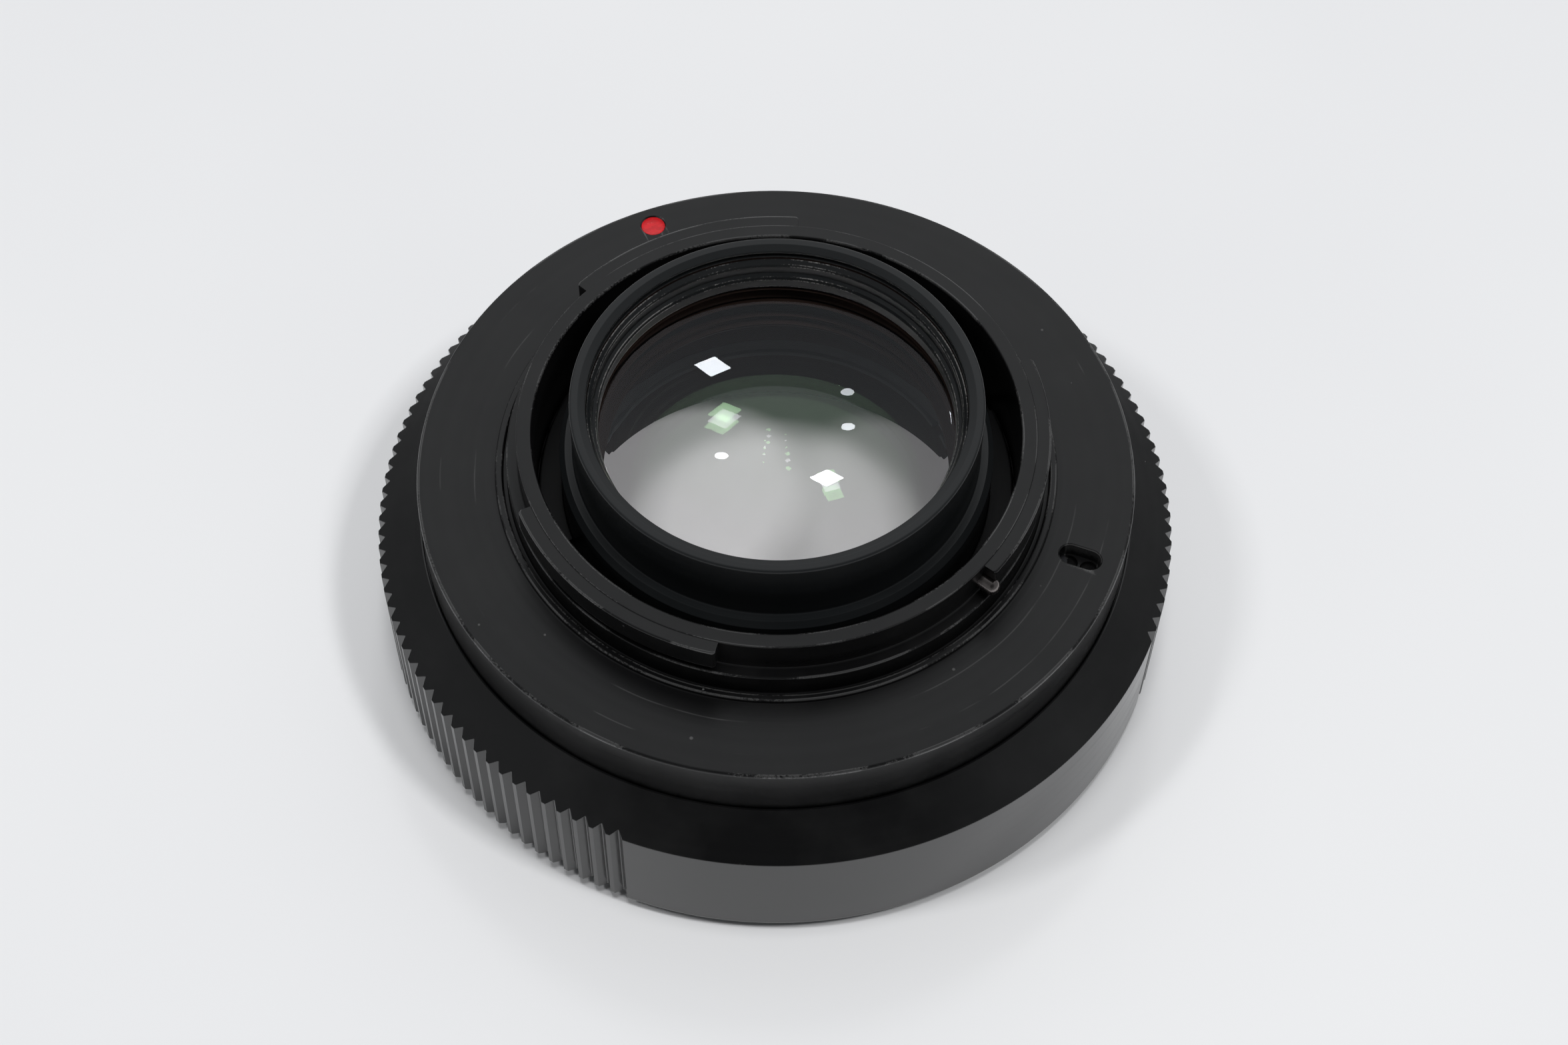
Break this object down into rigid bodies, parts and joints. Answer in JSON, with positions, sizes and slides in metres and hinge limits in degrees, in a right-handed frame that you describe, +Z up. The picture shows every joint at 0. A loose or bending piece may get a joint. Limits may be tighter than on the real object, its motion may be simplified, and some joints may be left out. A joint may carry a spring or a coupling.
{
  "type": "camera mount adapter with corrector lens",
  "caption": "Round black camera mount adapter with a three-tab bayonet, a protruding lens tube holding negative corrector glass, and a partly knurled turning lock ring.",
  "frame": {"origin": "on the resting surface, below the optical axis", "axes": "+Z up along the optical axis, towards the camera-side bayonet; +Y from the axis towards the red index dot"},
  "size_m": [0.0736, 0.0736, 0.03],
  "materials": {
    "black_anodised": "black anodised, fine turned satin",
    "satin_anodised": "blue-black satin anodised",
    "matte_black": "matt black paint against stray light",
    "bright_steel": "bright turned steel",
    "black_steel": "blackened steel",
    "nylon": "natural nylon",
    "red_paint": "glossy red fill",
    "coated_glass": "polished glass with a green anti-reflection coating"
  },
  "bodies": {
    "adapter_body": {"bayonet_flange": "black_anodised", "red_index_dot": "red_paint", "bayonet_stop_pin": "bright_steel", "main_body": "black_anodised", "lens_cell": "satin_anodised", "cell_lock_ring": "black_anodised", "rear_retaining_ring": "satin_anodised", "rear_element": "coated_glass", "element_spacer": "matte_black", "front_element": "coated_glass", "front_baffle_ring": "matte_black", "friction_washer": "nylon", "ring_retainer": "bright_steel", "limit_pin": "bright_steel", "lens_mount_ring": "black_anodised", "detent_spring": "bright_steel", "flange_screw_1": "black_steel", "flange_screw_2": "black_steel", "flange_screw_3": "black_steel", "lens_mount_screw_1": "black_steel", "lens_mount_screw_2": "black_steel", "lens_mount_screw_3": "black_steel", "lens_mount_screw_4": "black_steel"},
    "lock_ring": {"knurled_lock_ring": "black_anodised", "aperture_lever": "black_steel", "lever_drive_pin": "bright_steel", "lever_screw": "bright_steel"},
    "detent_ball": {"detent_ball": "bright_steel"}
  },
  "joints": [
    {"name": "lock_ring_turn", "type": "hinge", "parent": "adapter_body", "child": "lock_ring", "pos_m": [0, 0, 0.0115], "axis": [0, 0, 1], "range_deg": [0, 40]},
    {"name": "detent_ball_travel", "type": "slide", "parent": "adapter_body", "child": "detent_ball", "axis": [-1, 0, 0], "range_m": [-0.0003, 0], "stiffness_N_per_m": 100, "springref_m": 0.0004}
  ]
}
